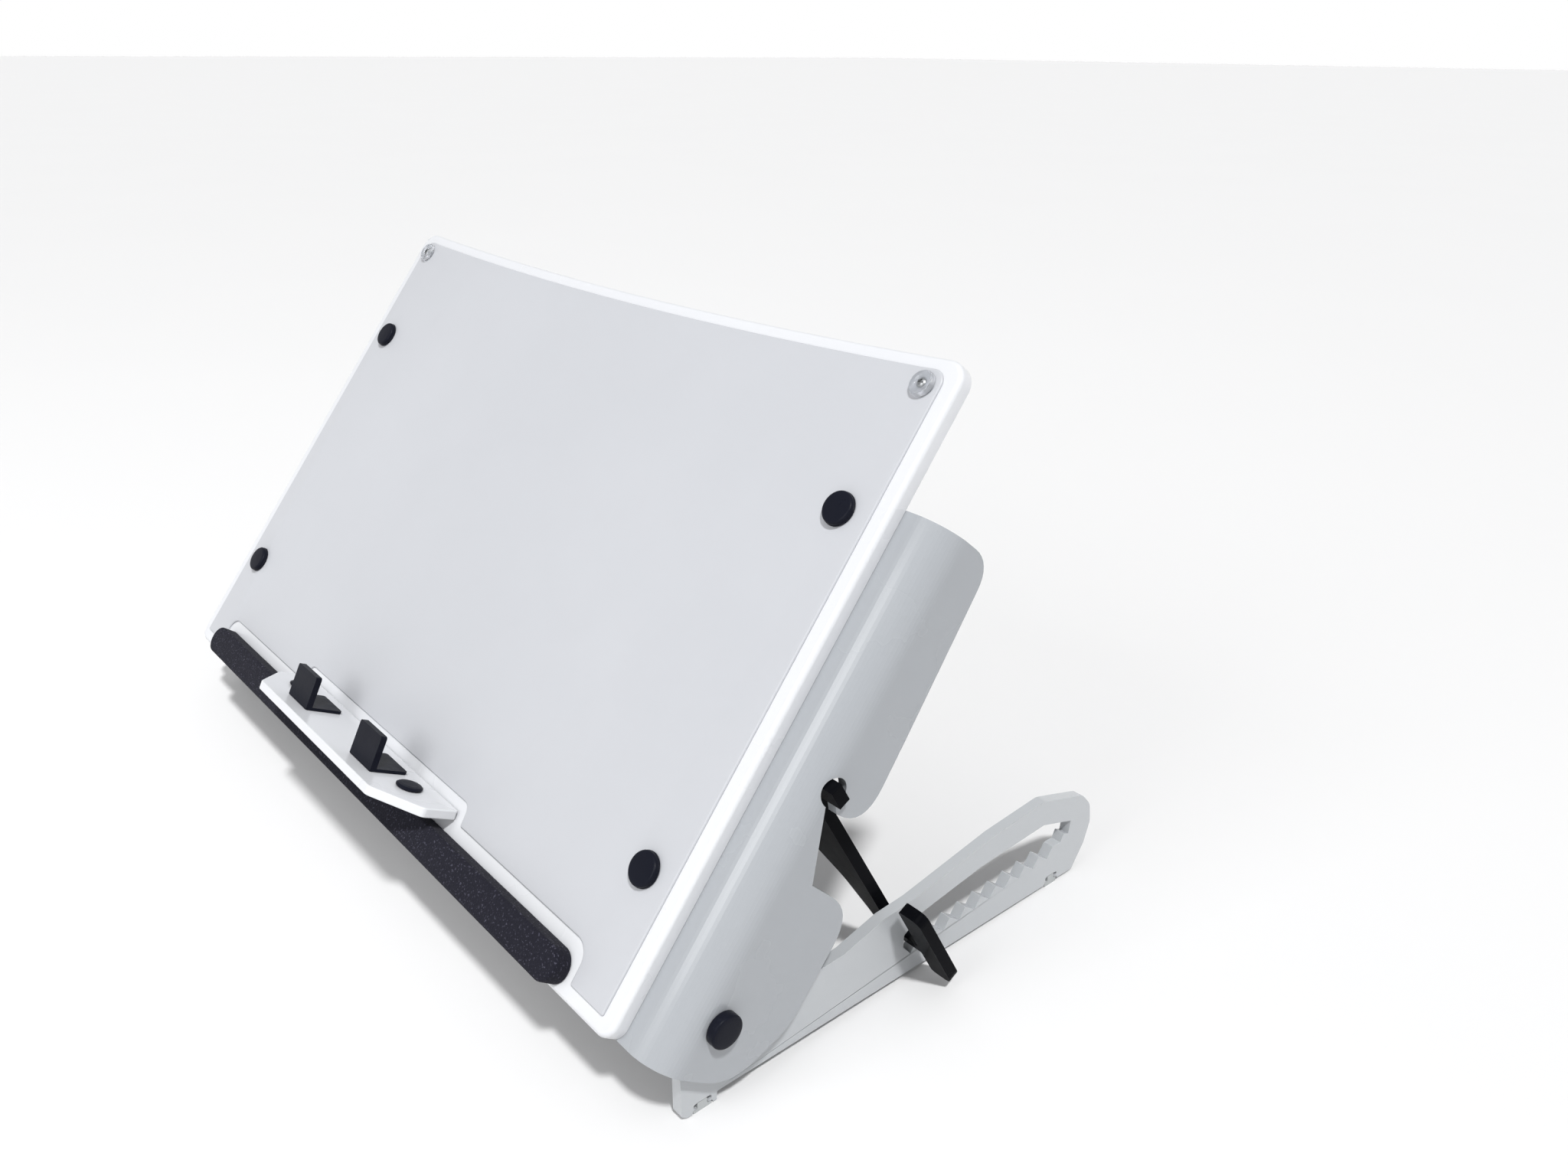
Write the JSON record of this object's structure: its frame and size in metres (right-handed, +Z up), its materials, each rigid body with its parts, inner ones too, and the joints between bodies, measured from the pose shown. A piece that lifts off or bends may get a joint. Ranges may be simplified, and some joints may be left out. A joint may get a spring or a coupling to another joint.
{
  "type": "portable drawing board",
  "caption": "Writing slope on two low base arms with a notched rack, a swinging prop, a page ledge and sliding page retainers.",
  "frame": {"origin": "floor level under the centre of the bounds, with the board in its steepest notch", "axes": "+X to the user's right along the hinge axis, +Y away from the user, +Z up"},
  "size_m": [0.582, 0.3293, 0.3002],
  "materials": {
    "white": "gloss white moulded panel, brackets and arms",
    "face": "satin pale grey writing face",
    "black": "gloss black",
    "foam": "grained dark foam rubber",
    "rubber": "matt grey rubber",
    "clear": "translucent grey bumper",
    "steel": "brushed"
  },
  "bodies": {
    "base": {"arm_left": "white", "arm_right": "white", "foot_front_left": "rubber", "foot_front_right": "rubber", "foot_rear_left": "rubber", "foot_rear_right": "rubber", "pivot_axle": "steel", "pivot_cap_left": "black", "pivot_cap_right": "black", "washer_left": "steel", "washer_right": "steel"},
    "board": {"board_panel": "white", "bracket_left": "white", "bracket_right": "white", "bumper_left": "clear", "bumper_right": "clear", "bumper_screw_left": "steel", "bumper_screw_right": "steel", "disc_lower_left": "black", "disc_lower_right": "black", "disc_upper_left": "black", "disc_upper_right": "black", "face_sheet": "face", "foam_rest": "foam", "ledge": "white", "ledge_stud_left": "black", "ledge_stud_right": "black", "nut_lower_left": "steel", "nut_lower_right": "steel", "nut_upper_left": "steel", "nut_upper_right": "steel"},
    "prop_frame": {"prop": "black"},
    "retainer_l": {"retainer_left": "black"},
    "retainer_r": {"retainer_right": "black"}
  },
  "joints": [
    {"name": "board_tilt", "type": "hinge", "parent": "base", "child": "board", "pos_m": [0, -0.10408, 0.04769], "axis": [1, 0, 0], "range_deg": [-40.3, 0]},
    {"name": "prop_swing", "type": "hinge", "parent": "board", "child": "prop_frame", "pos_m": [0, -0.04166, 0.1369], "axis": [1, 0, 0], "range_deg": [0, 84.5]},
    {"name": "retainer_left_slide", "type": "slide", "parent": "board", "child": "retainer_l", "axis": [1, 0, 0], "range_m": [-0.008, 0.027]},
    {"name": "retainer_right_slide", "type": "slide", "parent": "board", "child": "retainer_r", "axis": [1, 0, 0], "range_m": [-0.027, 0.008]}
  ],
  "couplings": [
    {"joint": "prop_swing", "follows": "board_tilt", "ratio": -2.09}
  ]
}
